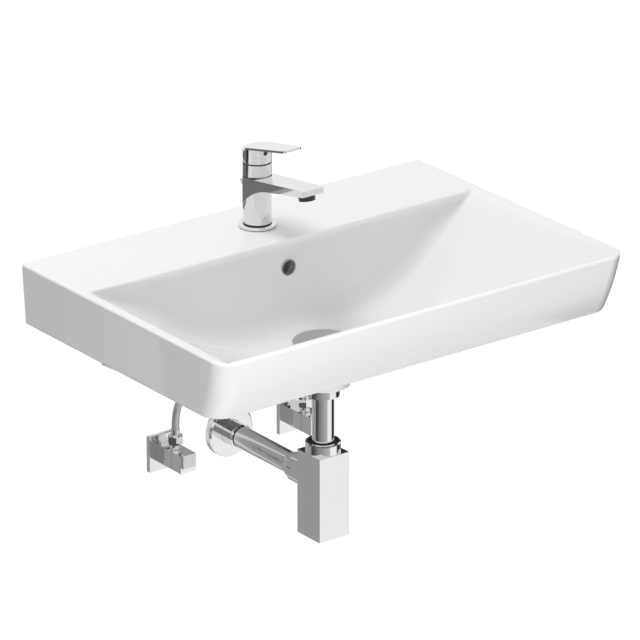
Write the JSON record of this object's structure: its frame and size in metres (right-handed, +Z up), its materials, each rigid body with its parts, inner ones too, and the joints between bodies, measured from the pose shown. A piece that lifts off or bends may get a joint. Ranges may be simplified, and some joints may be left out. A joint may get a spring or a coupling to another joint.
{
  "type": "wall-hung washbasin",
  "caption": "Rectangular wall-hung ceramic washbasin with a single-lever tap, lift-knob pop-up waste, square bottle trap and angle valves.",
  "frame": {"origin": "midway between the two wall-fixing holes, on the wall plane", "axes": "+X along the basin's width, +Y into the wall, +Z up"},
  "size_m": [0.6996, 0.5013, 0.5597],
  "materials": {
    "ceramic": "smooth white glaze",
    "chrome": "mirror plated",
    "brass": "machined",
    "steel": "zinc plated",
    "rubber": "matt moulded",
    "plastic_white": "moulded",
    "plastic_dark": "moulded mesh",
    "plastic_grey": "moulded",
    "ceramic_disc": "lapped",
    "hose_braid": "woven wire braid"
  },
  "bodies": {
    "basin_fixed": {"aerator_housing": "chrome", "aerator_insert": "plastic_dark", "basin": "ceramic", "cartridge_fixed_disc": "ceramic_disc", "cartridge_housing": "plastic_white", "cartridge_nut": "brass", "hose_ferrules": "chrome", "hose_left": "hose_braid", "hose_nuts": "chrome", "hose_right": "hose_braid", "hose_tails": "brass", "outlet_nut": "chrome", "outlet_pipe": "chrome", "outlet_rosette": "chrome", "outlet_seal": "rubber", "outlet_sleeve": "chrome", "overflow_ring": "plastic_grey", "tailpipe": "chrome", "tap_base_ring": "chrome", "tap_body": "chrome", "tap_clamp": "steel", "tap_gasket": "rubber", "tap_nut": "brass", "tap_pad": "rubber", "tap_stud": "steel", "trap_box": "chrome", "trap_cleanout": "chrome", "trap_cleanout_seal": "rubber", "trap_collar": "chrome", "trap_collar_seal": "rubber", "valve_body_left": "chrome", "valve_body_right": "chrome", "valve_plate_left": "chrome", "valve_plate_right": "chrome", "waste_body": "chrome", "waste_flange": "chrome", "waste_lower_gasket": "rubber", "waste_port_nut": "chrome", "waste_port_seat": "plastic_white", "waste_top_gasket": "rubber"},
    "turret": {"cartridge_carrier": "plastic_white", "cartridge_moving_disc": "ceramic_disc", "cartridge_pin": "steel"},
    "lever": {"lever": "chrome", "lever_screw": "steel", "lever_plug": "plastic_grey", "cartridge_stem": "brass"},
    "lift": {"lift_rod": "chrome", "lift_knob": "chrome", "lift_strap": "brass", "lift_strap_screw": "steel"},
    "pivot": {"pivot_rod": "chrome"},
    "plug": {"plug_cap": "chrome", "plug_seal": "rubber", "plug_stem": "brass"},
    "valve_left": {"valve_handle_left": "chrome", "valve_spindle_left": "brass"},
    "valve_right": {"valve_handle_right": "chrome", "valve_spindle_right": "brass"}
  },
  "joints": [
    {"name": "lever_turn", "type": "hinge", "parent": "basin_fixed", "child": "turret", "pos_m": [0, -0.076, 0.1495], "axis": [0, 0, 1], "range_deg": [-45, 45]},
    {"name": "lever_lift", "type": "hinge", "parent": "turret", "child": "lever", "pos_m": [0, -0.076, 0.1495], "axis": [-1, 0, 0], "range_deg": [0, 25]},
    {"name": "lift_rod_slide", "type": "slide", "parent": "basin_fixed", "child": "lift", "axis": [0, 0.2588, 0.9659], "range_m": [-0.009, 0]},
    {"name": "pivot_rock", "type": "hinge", "parent": "basin_fixed", "child": "pivot", "pos_m": [0, -0.194, -0.148], "axis": [1, 0, 0], "range_deg": [-6.7, 0.1]},
    {"name": "plug_slide", "type": "slide", "parent": "basin_fixed", "child": "plug", "axis": [0, 0, 1], "range_m": [-0.0001, 0.0043]},
    {"name": "valve_turn_left", "type": "hinge", "parent": "basin_fixed", "child": "valve_left", "pos_m": [-0.1157, -0.05, -0.288], "axis": [0, 1, 0], "range_deg": [0, 90]},
    {"name": "valve_turn_right", "type": "hinge", "parent": "basin_fixed", "child": "valve_right", "pos_m": [0.1157, -0.05, -0.288], "axis": [0, 1, 0], "range_deg": [0, 90]}
  ],
  "couplings": [
    {"joint": "pivot_rock", "follows": "lift_rod_slide", "rad_per_m": 12.75},
    {"joint": "plug_slide", "follows": "lift_rod_slide", "ratio": -0.461}
  ]
}
